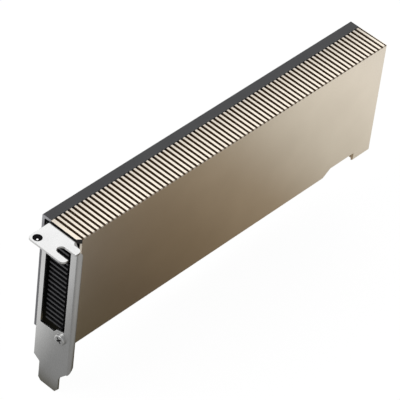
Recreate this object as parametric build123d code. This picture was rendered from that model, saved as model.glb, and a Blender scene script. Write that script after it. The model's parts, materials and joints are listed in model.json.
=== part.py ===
# Passive accelerator card, low profile, one slot wide, standing upright as in its slot.
# X runs from the bracket to the tail, Y across the card with the component side towards -Y, Z up.
# The origin is the datum of the edge connector: middle of the key notch, middle of the board's
# thickness, tip of the tongue. All sizes are in millimetres.
import os

from build123d import *

os.makedirs("parts", exist_ok=True)

# Card envelope
CARD_LENGTH = 167.65            # bracket's outer face to the tail
CARD_TOP = 68.9                 # tongue tip to the top of the ribs
FRONT_DEPTH = 14.47             # board's front face to the cover's face
BACK_DEPTH = 2.67               # board's back face to the back plate's face
BOARD_THICK = 1.57

# Edge connector
KEY_FROM_BRACKET = 58.1
KEY_WIDTH = 1.9
KEY_DEPTH = 7.9
FIRST_SEGMENT_LENGTH = 11.65
SECOND_SEGMENT_LENGTH = 71.65
TONGUE_HEIGHT = 8.25
TONGUE_CORNER = 1.2
BEVEL_HEIGHT = 1.0
BEVEL_DEPTH = 0.35
HOOK_GAP = 2.6                  # tongue's end to the hook's toe
HOOK_TOE = 2.0
HOOK_STEM = 4.2
HOOK_TIP_Z = 3.0
HOOK_TOE_HEIGHT = 2.2
HOOK_SLOT_TOP = 9.6
CONTACT_PITCH = 1.0
CONTACT_WIDTH = 0.7
CONTACT_FROM_KEY = 1.5
CONTACT_THICK = 0.05
CONTACT_TOP = 5.6
CONTACT_LATE_BY = 1.0           # the sensing contacts mate this much later
FIRST_CONTACT_COUNT = 11
SECOND_CONTACT_COUNT = 71
LATE_FRONT = (1,)
LATE_BACK = (17, 31, 48, 81)

# Board
BOARD_BRACKET_GAP = 0.45
BOARD_TAIL_GAP = 0.75
BOARD_TOP_GAP = 0.3

# Lower outline shared by the cover, the heat sink and the back plate
LOWER_EDGE_Z = 15.3
RECESS_Z = 18.1
TAIL_EDGE_Z = 14.6
RECESS_FROM_TAIL = 28.25
RECESS_SLOPE = 3.9
TAIL_LAND = 9.65                # what hangs lower again between the recess and the tail

# Front cover
COVER_NEAR = 1.7                # where the top starts
COVER_WALL_NEAR = 3.5           # where the front wall starts, clear of the bracket's flange
COVER_CORNER = 1.5              # cut off the top's corner there
COVER_SHEET = 1.0
COVER_EDGE_RADIUS = 0.4
RIB_PITCH = 2.15
RIB_WIDTH = 1.08
RIB_HEIGHT = 1.3
FIRST_RIB = 2.89                # from the bracket; the first rib is wider, towards the bracket
GROOVE_FRONT_WALL = 0.42        # what a groove leaves of the front wall's thickness
TAIL_RIM = 0.25                 # thin wall that closes the last groove at the tail
TOP_WEB = 0.8
COVER_STRIP_GAP = 0.12
FLANGE_REACH = 9.2
FLANGE_EDGE_BREAK = 0.6
FLANGE_RELIEF = 0.8
COVER_SCREW_NEAR = 16.0
COVER_SCREW_BEFORE_RECESS = 7.4

# Back plate
BACK_NEAR = 2.0
BACK_SHEET = 1.2
BACK_BEND = 0.5
BACK_INNER_BEND = 0.7
BACK_DROP = 2.1                 # how far the back plate hangs below the cover's lower edge
STRIP_WIDTH = 4.5
STRIP_SHEET = 1.2
BACK_PAD = 5.4                  # square pads that seat the plate on the board
TAIL_SCREW_FROM_TAIL = 5.65
TAIL_SCREW_Z = 41.6

# Heat sink
SINK_NEAR = 9.8
SINK_TAIL_GAP = 1.2
SINK_FIT = 0.15                 # clearance to the cover all round
BASE_ABOVE_BOARD = 3.16
BASE_THICK = 2.0
FIN_PITCH = 2.315
FIN_THICK = 0.8
FIN_COUNT = 20
TOP_FIN_Z = 66.0
FIN_NEAR = 1.6                  # where the fins start, just behind the bracket's window
FIN_NEAR_ROOT = 5.8             # their depth there, measured from the back face
FIN_NEAR_TIP = 14.6
FIN_NEAR_REACH = 3.6
SINK_WALL = 1.5
SINK_PAD = 5.0                  # square seats machined round the screws
SCREW_BLOCK_LENGTH = 8.0
SCREW_BLOCK_SIDE = 3.2          # from the screw's axis towards the board
SCREW_BLOCK_HEIGHT = 4.1

# Bracket
BRACKET_SHEET = 0.86
BRACKET_HEIGHT = 79.2
BRACKET_WIDTH = 18.42
BRACKET_ABOVE_TOP = 0.6
BRACKET_BEND = 1.2
PLATE_EDGE_FROM_BACK = 2.9
TAB_REACH = 10.8
TAB_START_FROM_BACK = 5.3
TAB_JOINED_WIDTH = 13.1
TAB_WIDTH = 18.0
TAB_CORNER = 1.8
TAB_LOBE_GAP = 1.2
TAB_RELIEF = 0.9
SLOT_WIDTH = 3.7
SLOT_CENTRE_OUT = 6.3
SLOT_CENTRE_FROM_BACK = 18.1
HOLE_RADIUS = 1.85
HOLE_OUT = 8.3
HOLE_FROM_BACK = 8.1
PLUG_FIT = 0.05
PLUG_SET_BACK = 0.05            # below the tab's face
PLUG_OPENING = 0.62             # radius of the opening at the foot of the plug's hollow
SIDE_BEND = 1.6
FLANGE_DEPTH = 1.8
FLANGE_FOOT_Z = 2.7
FLANGE_FOOT_RISE = 4.5          # how far its foot slopes up towards its free edge
FLANGE_TOP_BELOW_TAB = 3.0
FLANGE_TOP_FALL = 2.4           # how far its top slopes down towards its free edge
TONGUE_WIDTH = 10.2
TONGUE_FROM_BACK = 5.9
SHOULDER_LEFT_Z = 1.6
SHOULDER_LEFT_FOOT_Z = -0.3
SHOULDER_RIGHT_Z = -2.3
SHOULDER_CORNER = (0.5, 1.4)      # across and up, where the shoulder's slope starts
TONGUE_FAR_CORNER = (1.5, 2.0)   # across and up
TONGUE_NEAR_CORNER = 1.3
TOP_CORNER_CUT = 2.4
WINDOW_FROM_BACK = 4.9
WINDOW_WIDTH = 12.1
WINDOW_FOOT_Z = 19.8
WINDOW_TOP_Z = 64.0
WINDOW_STEP_AT = 12.0
WINDOW_STEP_RUN = 1.2
WINDOW_STEP_Z = 21.7
WINDOW_STEP_RISE = 1.0
WINDOW_CORNER = 0.6
EAR_LENGTH = 8.6
EAR_HEIGHT = 6.4
EAR_Z = 59.8
EAR_CORNER = 1.5

# Screws
SCREW_R = 1.0
SCREW_FIT = 0.12                # radial clearance round every shank
FACE_SCREW_FROM_BACK = 15.6
FACE_SCREW_Z = 18.55
FACE_SCREW_HEAD_R = 2.35
FACE_SCREW_HEAD = 1.05
FACE_SCREW_CROWN = 0.45
FACE_SCREW_LENGTH = 6.5
CROSS_SPAN = 2.6
CROSS_WIDTH = 0.6
CROSS_DEPTH = 0.7
CROSS_TURN = 20
EAR_SCREW_HEAD_R = 1.9
EAR_SCREW_HEAD = 1.2
EAR_SCREW_FROM_TIP = 3.2
FLAT_HEAD_R = 1.9               # countersunk heads in the back plate
FLAT_HEAD = 0.95
FLAT_HEAD_RECESS = 0.1
BACK_SCREW_LENGTH = 7.2
COVER_SCREW_HEAD_R = 1.8
COVER_SCREW_HEAD = 1.0
COVER_SCREW_LENGTH = 2.6
COVER_SCREW_FROM_FACE = 4.6

# Processor
PROCESSOR_Z = 40.0
PACKAGE_SIZE = 30.0
PACKAGE_THICK = 1.1
STIFFENER_RIM = 3.0
STIFFENER_THICK = 0.5
DIE_LENGTH = 15.0
DIE_WIDTH = 13.0
DIE_THICK = 0.8
PASTE_THICK = 0.1
PEDESTAL_MARGIN = 2.0
PROCESSOR_SCREW_SPACING = 38.0   # the four screws that press the heat sink on the die
FILM_THICK = 0.15
FILM_MARGIN = 1.0

# Memory
MEMORY_LENGTH = 14.0
MEMORY_WIDTH = 12.0
MEMORY_THICK = 1.1
MEMORY_ROW_SPACING = 20.0
MEMORY_PAD = 0.5

# Power stretch
PHASE_COUNT = 4
PHASE_PITCH = 9.6
PHASE_Z = 41.6
CHOKE_FROM_TAIL = 29.65
CHOKE_SIZE = 7.0
CHOKE_HEIGHT = 2.8
CHOKE_CORNER = 0.7
CHOKE_PAD_MARGIN = 0.5
STAGE_GAP = 2.6
STAGE_LENGTH = 5.0
STAGE_WIDTH = 6.0
STAGE_HEIGHT = 0.9
STAGE_PAD = 0.5
POLYMER_LENGTH = 7.3
POLYMER_WIDTH = 4.3
POLYMER_HEIGHT = 1.9
POLYMER_GAP = 1.2
CERAMIC_LENGTH = 3.2
CERAMIC_WIDTH = 2.5
CERAMIC_HEIGHT = 2.0
CERAMIC_GAP = 1.6
CERAMIC_PAIR_GAP = 0.8
MEMORY_PHASE_X = 33.0
MEMORY_PHASE_Z = 54.0
INPUT_CHOKE_X = 33.0
INPUT_CHOKE_Z = 28.0

# Small parts
DECOUPLING_COLUMNS = 4
DECOUPLING_ROWS = 4
DECOUPLING_PITCH_X = 5.6
DECOUPLING_PITCH_Z = 5.0
DECOUPLING_SIZE = (2.0, 0.8, 1.25)
COUPLING_SIZE = (0.6, 0.6, 1.1)
COUPLING_LANES = 16
COUPLING_Z = 12.0
COUPLING_FROM_KEY = 4.0
COUPLING_LANE_PITCH = 4.0
COUPLING_PAIR = 1.0
POWER_CONTROLLER_AT = (33.0, 43.0)
POWER_CONTROLLER_SIZE = (6.0, 6.0, 0.85)
MANAGER_AT = (20.0, 36.0)
MANAGER_SIZE = (8.0, 8.0, 0.85)
FIRMWARE_AT = (44.0, 43.0)
FIRMWARE_SIZE = (5.3, 5.3, 1.7)
CRYSTAL_AT = (20.0, 28.0)
CRYSTAL_SIZE = (3.2, 2.5, 0.8)
REGULATOR_AT = ((20.0, 47.0), (44.0, 33.0))
REGULATOR_SIZE = (5.0, 4.0, 1.2)
CHIP_LEAD = 0.9
CHIP_LEAD_WIDTH = 0.4
CHIP_LEAD_PITCH = 1.27
CHIP_LEAD_COUNT = 4
CHIP_LEAD_THICK = 0.25

# Cutters reach this far past what they cut
OVERCUT = 1.0

# Worked out from the sizes above
RECESS_START = CARD_LENGTH - RECESS_FROM_TAIL
RECESS_END = CARD_LENGTH - TAIL_LAND
RIB_COUNT = int((CARD_LENGTH - FIRST_RIB) / RIB_PITCH) + 1
COVER_SCREW_AT = (COVER_SCREW_NEAR, RECESS_START - COVER_SCREW_BEFORE_RECESS)
CHOKE_X = CARD_LENGTH - CHOKE_FROM_TAIL
BRACKET_X = -KEY_FROM_BRACKET
TAIL_X = BRACKET_X + CARD_LENGTH
BOARD_FRONT = -BOARD_THICK / 2
BOARD_BACK = BOARD_THICK / 2
FACE_Y = BOARD_FRONT - FRONT_DEPTH
REAR_Y = BOARD_BACK + BACK_DEPTH
STRIP_Y = REAR_Y - STRIP_WIDTH
TAB_TOP = CARD_TOP + BRACKET_ABOVE_TOP
BOARD_TOP = CARD_TOP - STRIP_SHEET - BOARD_TOP_GAP
BOARD_NEAR_X = BRACKET_X + BRACKET_SHEET + BOARD_BRACKET_GAP
BOARD_TAIL_X = TAIL_X - BOARD_TAIL_GAP
BACK_INNER_Y = REAR_Y - BACK_SHEET
BASE_UNDER_Y = BOARD_FRONT - BASE_ABOVE_BOARD
BASE_OUTER_Y = BASE_UNDER_Y - BASE_THICK
COVER_INNER_Y = FACE_Y + COVER_SHEET
COVER_UNDER_Z = CARD_TOP - RIB_HEIGHT - TOP_WEB
FIN_TIP_Y = COVER_INNER_Y + SINK_FIT
SINK_FOOT_Z = LOWER_EDGE_Z + COVER_SHEET
SINK_NEAR_X = BRACKET_X + SINK_NEAR
SINK_TAIL_X = TAIL_X - SINK_TAIL_GAP
STAGE_X = CHOKE_X + CHOKE_SIZE / 2 + STAGE_GAP + STAGE_LENGTH / 2
POLYMER_X = CHOKE_X - CHOKE_SIZE / 2 - POLYMER_GAP - POLYMER_WIDTH / 2
CERAMIC_X = STAGE_X + STAGE_LENGTH / 2 + CERAMIC_GAP + CERAMIC_LENGTH / 2
# The processor and the memory beside it share the free length between the parts at both ends
FREE_START = FIRMWARE_AT[0] + FIRMWARE_SIZE[0] / 2
FREE_LENGTH = POLYMER_X - POLYMER_WIDTH / 2 - FREE_START
PROCESSOR_X = FREE_START + FREE_LENGTH / 2
MEMORY_GAP = (FREE_LENGTH - PACKAGE_SIZE - 2 * MEMORY_LENGTH) / 4
MEMORY_OFFSET = PACKAGE_SIZE / 2 + MEMORY_GAP + MEMORY_LENGTH / 2
FACE_SCREW_Y = REAR_Y - FACE_SCREW_FROM_BACK


def from_bracket(distance):
    return BRACKET_X + distance


def block(x0, x1, y0, y1, z0, z1):
    size = (x1 - x0, y1 - y0, z1 - z0)
    return Pos(x0, y0, z0) * Box(*size, align=(Align.MIN, Align.MIN, Align.MIN))


def side_plane(y):
    # Local x is X, local y is Z, and the normal points to the component side.
    return Plane(origin=(0, y, 0), x_dir=(1, 0, 0), z_dir=(0, -1, 0))


def end_plane(x):
    # Local x is Y, local y is Z, and the normal points to the tail.
    return Plane(origin=(x, 0, 0), x_dir=(0, 1, 0), z_dir=(1, 0, 0))


def outline(points):
    return make_face(Polyline(*points, close=True))


def panel(points, back_y, front_y):
    # A flat sheet parallel to the board, from back_y towards the component side.
    return extrude(side_plane(back_y) * outline(points), amount=back_y - front_y)


def rod(x, z, radius, back_y, front_y):
    return extrude(side_plane(back_y) * Pos(x, z) * Circle(radius), amount=back_y - front_y)


def chip(x, z, length, width, seat_y, height):
    # A flat part on the board's front face, height measured away from its seat.
    return block(x - length / 2, x + length / 2, seat_y - height, seat_y, z - width / 2, z + width / 2)


def lower_outline(near, drop=0.0):
    # The lower edge from the bracket to the tail, with the recess for the slot's latch.
    return [
        (near, LOWER_EDGE_Z - drop),
        (from_bracket(RECESS_START), LOWER_EDGE_Z - drop),
        (from_bracket(RECESS_START + RECESS_SLOPE), RECESS_Z - drop),
        (from_bracket(RECESS_END), RECESS_Z - drop),
        (from_bracket(RECESS_END), TAIL_EDGE_Z - drop),
        (TAIL_X, TAIL_EDGE_Z - drop),
    ]


def memory_places():
    places = []
    for side in (-1, 1):
        for row in (-0.5, 0.5):
            x = from_bracket(PROCESSOR_X) + side * MEMORY_OFFSET
            places.append((x, PROCESSOR_Z + row * MEMORY_ROW_SPACING))
    return places


def back_screw_places():
    half = PROCESSOR_SCREW_SPACING / 2
    x = from_bracket(PROCESSOR_X)
    places = [(x + i * half, PROCESSOR_Z + j * half) for i in (-1, 1) for j in (-1, 1)]
    return places + [(TAIL_X - TAIL_SCREW_FROM_TAIL, TAIL_SCREW_Z)]


def phase_rows():
    first = PHASE_Z - PHASE_PITCH * (PHASE_COUNT - 1) / 2
    return [first + PHASE_PITCH * i for i in range(PHASE_COUNT)]


def choke_places():
    places = [(from_bracket(CHOKE_X), z) for z in phase_rows()]
    return places + [(from_bracket(MEMORY_PHASE_X), MEMORY_PHASE_Z)]


def stage_places():
    places = [(from_bracket(STAGE_X), z) for z in phase_rows()]
    return places + [(from_bracket(MEMORY_PHASE_X - STAGE_X + CHOKE_X), MEMORY_PHASE_Z)]


def ear_screw_place():
    return from_bracket(EAR_LENGTH - EAR_SCREW_FROM_TIP), EAR_Z


def pan_screw(head_r, head, length):
    # Head above the seat at z = 0, shank below it.
    body = Pos(0, 0, head / 2) * Cylinder(head_r, head)
    return body + Pos(0, 0, -length / 2) * Cylinder(SCREW_R, length)


def flat_screw(head_r, shank_r, length):
    # Countersunk head with its flat top at z = 0; also the cutter for its seat, made wider.
    profile = outline([(0, 0), (head_r, 0), (shank_r, -FLAT_HEAD), (shank_r, -length), (0, -length)])
    return revolve(Plane.XZ * profile, Axis.Z)


def facing_back(shape, x, y, z):
    # Turns a screw so that its head points to the back of the card.
    return Plane(origin=(x, y, z), x_dir=(1, 0, 0), z_dir=(0, 1, 0)) * shape


def front_cover():
    near, wall_near = from_bracket(COVER_NEAR), from_bracket(COVER_WALL_NEAR)
    floor = CARD_TOP - RIB_HEIGHT
    wall = panel([(wall_near, floor)] + lower_outline(wall_near) + [(TAIL_X, floor)], COVER_INNER_Y, FACE_Y)
    top_back = STRIP_Y - COVER_STRIP_GAP
    top = block(near, TAIL_X, FACE_Y, top_back, COVER_UNDER_Z, CARD_TOP)
    cover = wall + top
    flange_back = FACE_Y + FLANGE_REACH
    stretches = (
        (COVER_WALL_NEAR, RECESS_START - FLANGE_RELIEF, LOWER_EDGE_Z),
        (RECESS_START + RECESS_SLOPE + FLANGE_RELIEF, RECESS_END - FLANGE_RELIEF, RECESS_Z),
        (RECESS_END + FLANGE_RELIEF, CARD_LENGTH, TAIL_EDGE_Z),
    )
    for start, end, z in stretches:
        cover += block(from_bracket(start), from_bracket(end), FACE_Y, flange_back, z, z + COVER_SHEET)
    top_edge = cover.edges().filter_by(Axis.X).filter_by_position(Axis.Z, CARD_TOP, CARD_TOP)
    cover = fillet(top_edge.filter_by_position(Axis.Y, FACE_Y, FACE_Y), COVER_EDGE_RADIUS)
    feet = cover.edges().filter_by(Axis.X).filter_by_position(Axis.Y, FACE_Y, FACE_Y)
    feet = feet.filter_by_position(Axis.Z, TAIL_EDGE_Z, RECESS_Z)
    cover = chamfer(feet, FLANGE_EDGE_BREAK)
    corner = outline([(near, FACE_Y + COVER_CORNER), (wall_near, FACE_Y), (wall_near, FACE_Y - OVERCUT),
                      (near - OVERCUT, FACE_Y - OVERCUT), (near - OVERCUT, FACE_Y + COVER_CORNER)])
    cover -= extrude(Pos(0, 0, COVER_UNDER_Z - OVERCUT) * corner, amount=RIB_HEIGHT + TOP_WEB + 2 * OVERCUT)
    for d in COVER_SCREW_AT:
        hole = Cylinder(SCREW_R + SCREW_FIT, 4 * COVER_SHEET)
        cover -= Pos(from_bracket(d), FACE_Y + COVER_SCREW_FROM_FACE, LOWER_EDGE_Z) * hole
    return cover - rib_grooves(top_back)


def rib_grooves(top_back):
    half = (RIB_PITCH - RIB_WIDTH) / 2
    floor = CARD_TOP - RIB_HEIGHT
    front, back, above = FACE_Y + GROOVE_FRONT_WALL, top_back + OVERCUT, CARD_TOP + OVERCUT
    groove = block(-half, half, front, back, floor, above)
    first = from_bracket(FIRST_RIB + RIB_PITCH / 2)
    grooves = [Pos(first + RIB_PITCH * i, 0, 0) * groove for i in range(RIB_COUNT - 1)]
    last = from_bracket(FIRST_RIB + RIB_PITCH * (RIB_COUNT - 1) + RIB_WIDTH / 2)
    if last < TAIL_X - TAIL_RIM:
        grooves.append(block(last, TAIL_X - TAIL_RIM, front, back, floor, above))
    return grooves


def back_plate():
    near = from_bracket(BACK_NEAR)
    wall = panel([(near, CARD_TOP)] + lower_outline(near, BACK_DROP) + [(TAIL_X, CARD_TOP)],
                 REAR_Y, BACK_INNER_Y)
    plate = wall + block(near, TAIL_X, STRIP_Y, REAR_Y, CARD_TOP - STRIP_SHEET, CARD_TOP)
    edge = plate.edges().filter_by(Axis.X).filter_by_position(Axis.Z, CARD_TOP, CARD_TOP)
    plate = fillet(edge.filter_by_position(Axis.Y, REAR_Y, REAR_Y), BACK_BEND)
    under = CARD_TOP - STRIP_SHEET
    edge = plate.edges().filter_by(Axis.X).filter_by_position(Axis.Z, under, under)
    plate = fillet(edge.filter_by_position(Axis.Y, BACK_INNER_Y, BACK_INNER_Y), BACK_INNER_BEND)
    seat = flat_screw(FLAT_HEAD_R + SCREW_FIT, SCREW_R + SCREW_FIT, BACK_DEPTH + OVERCUT)
    for x, z in back_screw_places():
        plate += chip(x, z, BACK_PAD, BACK_PAD, BACK_INNER_Y, BACK_INNER_Y - BOARD_BACK)
        plate -= facing_back(seat, x, REAR_Y, z)
    return plate


def circuit_board():
    near_tongue = -KEY_WIDTH / 2 - FIRST_SEGMENT_LENGTH
    far_tongue = KEY_WIDTH / 2 + SECOND_SEGMENT_LENGTH
    toe = far_tongue + HOOK_GAP
    stem = toe + HOOK_TOE
    hook_end = stem + HOOK_STEM
    board = panel([
        (BOARD_NEAR_X, BOARD_TOP), (BOARD_NEAR_X, TONGUE_HEIGHT),
        (near_tongue, TONGUE_HEIGHT), (near_tongue, TONGUE_CORNER), (near_tongue + TONGUE_CORNER, 0),
        (far_tongue - TONGUE_CORNER, 0), (far_tongue, TONGUE_CORNER), (far_tongue, HOOK_SLOT_TOP),
        (stem, HOOK_SLOT_TOP), (stem, HOOK_TIP_Z + HOOK_TOE_HEIGHT),
        (toe, HOOK_TIP_Z + HOOK_TOE_HEIGHT), (toe, HOOK_TIP_Z), (hook_end, HOOK_TIP_Z),
        (hook_end, TONGUE_HEIGHT), (BOARD_TAIL_X, TONGUE_HEIGHT), (BOARD_TAIL_X, BOARD_TOP),
    ], BOARD_BACK, BOARD_FRONT)
    key = Pos(0, KEY_DEPTH / 2) * SlotOverall(2 * KEY_DEPTH, KEY_WIDTH, rotation=90)
    key = Pos(0, -KEY_DEPTH / 2) * key
    board -= extrude(side_plane(BOARD_BACK + OVERCUT) * key, amount=BOARD_THICK + 2 * OVERCUT)
    for side in (-1, 1):
        skin = side * BOARD_THICK / 2
        slope = BEVEL_DEPTH / BEVEL_HEIGHT
        bevel = outline([(skin, BEVEL_HEIGHT), (skin - side * BEVEL_DEPTH, 0),
                         (skin - side * (BEVEL_DEPTH + slope * OVERCUT), -OVERCUT),
                         (skin + side * OVERCUT, -OVERCUT), (skin + side * OVERCUT, BEVEL_HEIGHT)])
        length = far_tongue - near_tongue + 2 * OVERCUT
        board -= extrude(end_plane(near_tongue - OVERCUT) * bevel, amount=length)
    for x, z in back_screw_places() + [ear_screw_place()]:
        board -= rod(x, z, SCREW_R + SCREW_FIT, BOARD_BACK + OVERCUT, BOARD_FRONT - OVERCUT)
    return board


def edge_contacts():
    count = FIRST_CONTACT_COUNT + SECOND_CONTACT_COUNT
    contacts = []
    for number in range(1, count + 1):
        if number <= FIRST_CONTACT_COUNT:
            x = -CONTACT_FROM_KEY - CONTACT_PITCH * (FIRST_CONTACT_COUNT - number)
        else:
            x = CONTACT_FROM_KEY + CONTACT_PITCH * (number - FIRST_CONTACT_COUNT - 1)
        for seat, late in ((BOARD_FRONT - CONTACT_THICK, LATE_FRONT), (BOARD_BACK, LATE_BACK)):
            foot = BEVEL_HEIGHT + (CONTACT_LATE_BY if number in late else 0)
            contacts.append(block(x - CONTACT_WIDTH / 2, x + CONTACT_WIDTH / 2, seat,
                                  seat + CONTACT_THICK, foot, CONTACT_TOP))
    return Compound(contacts)


def heat_sink():
    near, tail = SINK_NEAR_X, SINK_TAIL_X
    recess_x = from_bracket(RECESS_START - FLANGE_RELIEF)
    recess_z = RECESS_Z + COVER_SHEET + SINK_FIT
    top = COVER_UNDER_Z - SINK_FIT
    sink = panel([(near, top), (near, SINK_FOOT_Z), (recess_x, SINK_FOOT_Z), (recess_x, recess_z),
                  (tail, recess_z), (tail, top)], BASE_UNDER_Y, BASE_OUTER_Y)
    fin_near = from_bracket(FIN_NEAR)
    full_from = from_bracket(FIN_NEAR + FIN_NEAR_REACH)
    root, tip = REAR_Y - FIN_NEAR_ROOT, REAR_Y - FIN_NEAR_TIP
    for i in range(FIN_COUNT):
        z = TOP_FIN_Z - FIN_PITCH * i
        profile = [(fin_near, root), (near, root), (near, BASE_OUTER_Y), (tail, BASE_OUTER_Y),
                   (tail, FIN_TIP_Y), (full_from, FIN_TIP_Y), (full_from, tip), (fin_near, tip)]
        sink += extrude(Pos(0, 0, z - FIN_THICK / 2) * outline(profile), amount=FIN_THICK)
    seat = BRACKET_X + BRACKET_SHEET
    sink += block(seat + SCREW_BLOCK_LENGTH / 2, recess_x, FIN_TIP_Y, BASE_OUTER_Y, SINK_FOOT_Z,
                  SINK_FOOT_Z + SINK_WALL)
    sink += block(seat, seat + SCREW_BLOCK_LENGTH, FIN_TIP_Y, FACE_SCREW_Y + SCREW_BLOCK_SIDE,
                  SINK_FOOT_Z, SINK_FOOT_Z + SCREW_BLOCK_HEIGHT)
    for x, z in memory_places():
        reach = BASE_ABOVE_BOARD - MEMORY_THICK - MEMORY_PAD
        sink += chip(x, z, MEMORY_LENGTH, MEMORY_WIDTH, BASE_UNDER_Y + reach, reach)
    for x, z in stage_places():
        reach = BASE_ABOVE_BOARD - STAGE_HEIGHT - STAGE_PAD
        sink += chip(x, z, STAGE_LENGTH, STAGE_WIDTH, BASE_UNDER_Y + reach, reach)
    reach = BASE_ABOVE_BOARD - PACKAGE_THICK - DIE_THICK - PASTE_THICK
    sink += chip(from_bracket(PROCESSOR_X), PROCESSOR_Z, DIE_LENGTH + 2 * PEDESTAL_MARGIN,
                 DIE_WIDTH + 2 * PEDESTAL_MARGIN, BASE_UNDER_Y + reach, reach)
    hole_r = SCREW_R + SCREW_FIT
    tip = REAR_Y - FLAT_HEAD_RECESS - BACK_SCREW_LENGTH - SCREW_FIT
    for x, z in back_screw_places():
        sink += chip(x, z, SINK_PAD, SINK_PAD, BOARD_FRONT, BASE_ABOVE_BOARD)
        sink -= rod(x, z, hole_r, BOARD_FRONT + OVERCUT, tip)
    for d in COVER_SCREW_AT:
        depth = COVER_SCREW_LENGTH + SCREW_FIT
        hole = Pos(0, 0, depth / 2) * Cylinder(hole_r, depth)
        sink -= Pos(from_bracket(d), FACE_Y + COVER_SCREW_FROM_FACE, LOWER_EDGE_Z) * hole
    depth = FACE_SCREW_LENGTH + SCREW_FIT
    sink -= Plane(origin=(BRACKET_X, FACE_SCREW_Y, FACE_SCREW_Z), z_dir=(1, 0, 0)) * (
        Pos(0, 0, depth / 2) * Cylinder(hole_r, depth))
    return sink


def bracket_plate():
    edge = REAR_Y - PLATE_EDGE_FROM_BACK
    far = edge - BRACKET_WIDTH
    tongue = REAR_Y - TONGUE_FROM_BACK
    tongue_far = tongue - TONGUE_WIDTH
    foot = TAB_TOP - BRACKET_HEIGHT
    tab_start = REAR_Y - TAB_START_FROM_BACK
    bend_z = TAB_TOP - BRACKET_BEND
    bend_y = far + SIDE_BEND
    tab_far = tab_start - TAB_JOINED_WIDTH
    points = [
        (edge, bend_z - TOP_CORNER_CUT), (tab_start, bend_z), (tab_far, bend_z),
        (bend_y, TAB_TOP - FLANGE_TOP_BELOW_TAB), (bend_y, FLANGE_FOOT_Z),
        (tongue_far - SHOULDER_CORNER[0], SHOULDER_RIGHT_Z + SHOULDER_CORNER[1]),
        (tongue_far, SHOULDER_RIGHT_Z), (tongue_far, foot + TONGUE_FAR_CORNER[1]),
        (tongue_far + TONGUE_FAR_CORNER[0], foot), (tongue - TONGUE_NEAR_CORNER, foot),
        (tongue, foot + TONGUE_NEAR_CORNER), (tongue, SHOULDER_LEFT_FOOT_Z),
        (edge, SHOULDER_LEFT_Z),
    ]
    return extrude(end_plane(BRACKET_X) * outline(points), amount=BRACKET_SHEET)


def bracket_window():
    near = REAR_Y - WINDOW_FROM_BACK
    step = REAR_Y - WINDOW_STEP_AT
    far = near - WINDOW_WIDTH
    face = outline([
        (near, WINDOW_FOOT_Z), (near, WINDOW_TOP_Z), (far, WINDOW_TOP_Z),
        (far, WINDOW_STEP_Z + WINDOW_STEP_RISE), (step - WINDOW_STEP_RUN, WINDOW_STEP_Z),
        (step, WINDOW_FOOT_Z),
    ])
    face = fillet(face.vertices().filter_by_position(Axis.X, near, near), WINDOW_CORNER)
    return extrude(end_plane(BRACKET_X - OVERCUT) * face, amount=BRACKET_SHEET + 2 * OVERCUT)


def bracket_tab():
    start = REAR_Y - TAB_START_FROM_BACK
    joined = start - TAB_JOINED_WIDTH
    far = start - TAB_WIDTH
    bend_x = BRACKET_X + BRACKET_SHEET - BRACKET_BEND
    lobe_x = BRACKET_X - TAB_LOBE_GAP
    out_x = BRACKET_X - TAB_REACH
    face = outline([(bend_x, start), (bend_x, joined), (lobe_x, joined - TAB_RELIEF), (lobe_x, far),
                    (out_x, far), (out_x, start)])
    corners = face.vertices()
    rounded = corners.filter_by_position(Axis.X, out_x, out_x)
    rounded += corners.filter_by_position(Axis.Y, far, far).filter_by_position(Axis.X, lobe_x, lobe_x)
    face = fillet(rounded, TAB_CORNER)
    face -= Pos(BRACKET_X - HOLE_OUT, REAR_Y - HOLE_FROM_BACK) * Circle(HOLE_RADIUS)
    slot_x = BRACKET_X - SLOT_CENTRE_OUT
    slot_y = REAR_Y - SLOT_CENTRE_FROM_BACK
    face -= Pos(slot_x, slot_y) * Circle(SLOT_WIDTH / 2)
    length = slot_y - far + OVERCUT
    face -= Pos(slot_x, slot_y - length / 2) * Rectangle(SLOT_WIDTH, length)
    tab = extrude(Pos(0, 0, TAB_TOP - BRACKET_SHEET) * face, amount=BRACKET_SHEET)
    centre_z = TAB_TOP - BRACKET_BEND
    ring = Circle(BRACKET_BEND) - Circle(BRACKET_BEND - BRACKET_SHEET)
    quarter = ring & (Pos(BRACKET_BEND / 2, BRACKET_BEND / 2) * Rectangle(BRACKET_BEND, BRACKET_BEND))
    bend = extrude(side_plane(start) * Pos(bend_x, centre_z) * quarter, amount=start - joined)
    return tab + bend


def bracket_flange():
    far = REAR_Y - PLATE_EDGE_FROM_BACK - BRACKET_WIDTH
    ring = Circle(SIDE_BEND) - Circle(SIDE_BEND - BRACKET_SHEET)
    quarter = ring & (Pos(-SIDE_BEND / 2, -SIDE_BEND / 2) * Rectangle(SIDE_BEND, SIDE_BEND))
    top = TAB_TOP - FLANGE_TOP_BELOW_TAB
    centre = Pos(BRACKET_X + SIDE_BEND, far + SIDE_BEND, FLANGE_FOOT_Z)
    bend = extrude(centre * quarter, amount=top - FLANGE_FOOT_Z)
    side = block(BRACKET_X + SIDE_BEND, BRACKET_X + FLANGE_DEPTH, far, far + BRACKET_SHEET,
                 FLANGE_FOOT_Z, top)
    flange = bend + side
    free = BRACKET_X + FLANGE_DEPTH
    for z, slope in ((FLANGE_FOOT_Z, FLANGE_FOOT_RISE), (top, -FLANGE_TOP_FALL)):
        wedge = outline([(BRACKET_X, z), (free, z + slope), (free + OVERCUT, z + slope),
                         (free + OVERCUT, z)])
        flange -= extrude(side_plane(far + SIDE_BEND) * wedge, amount=SIDE_BEND + OVERCUT)
    return flange


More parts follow.
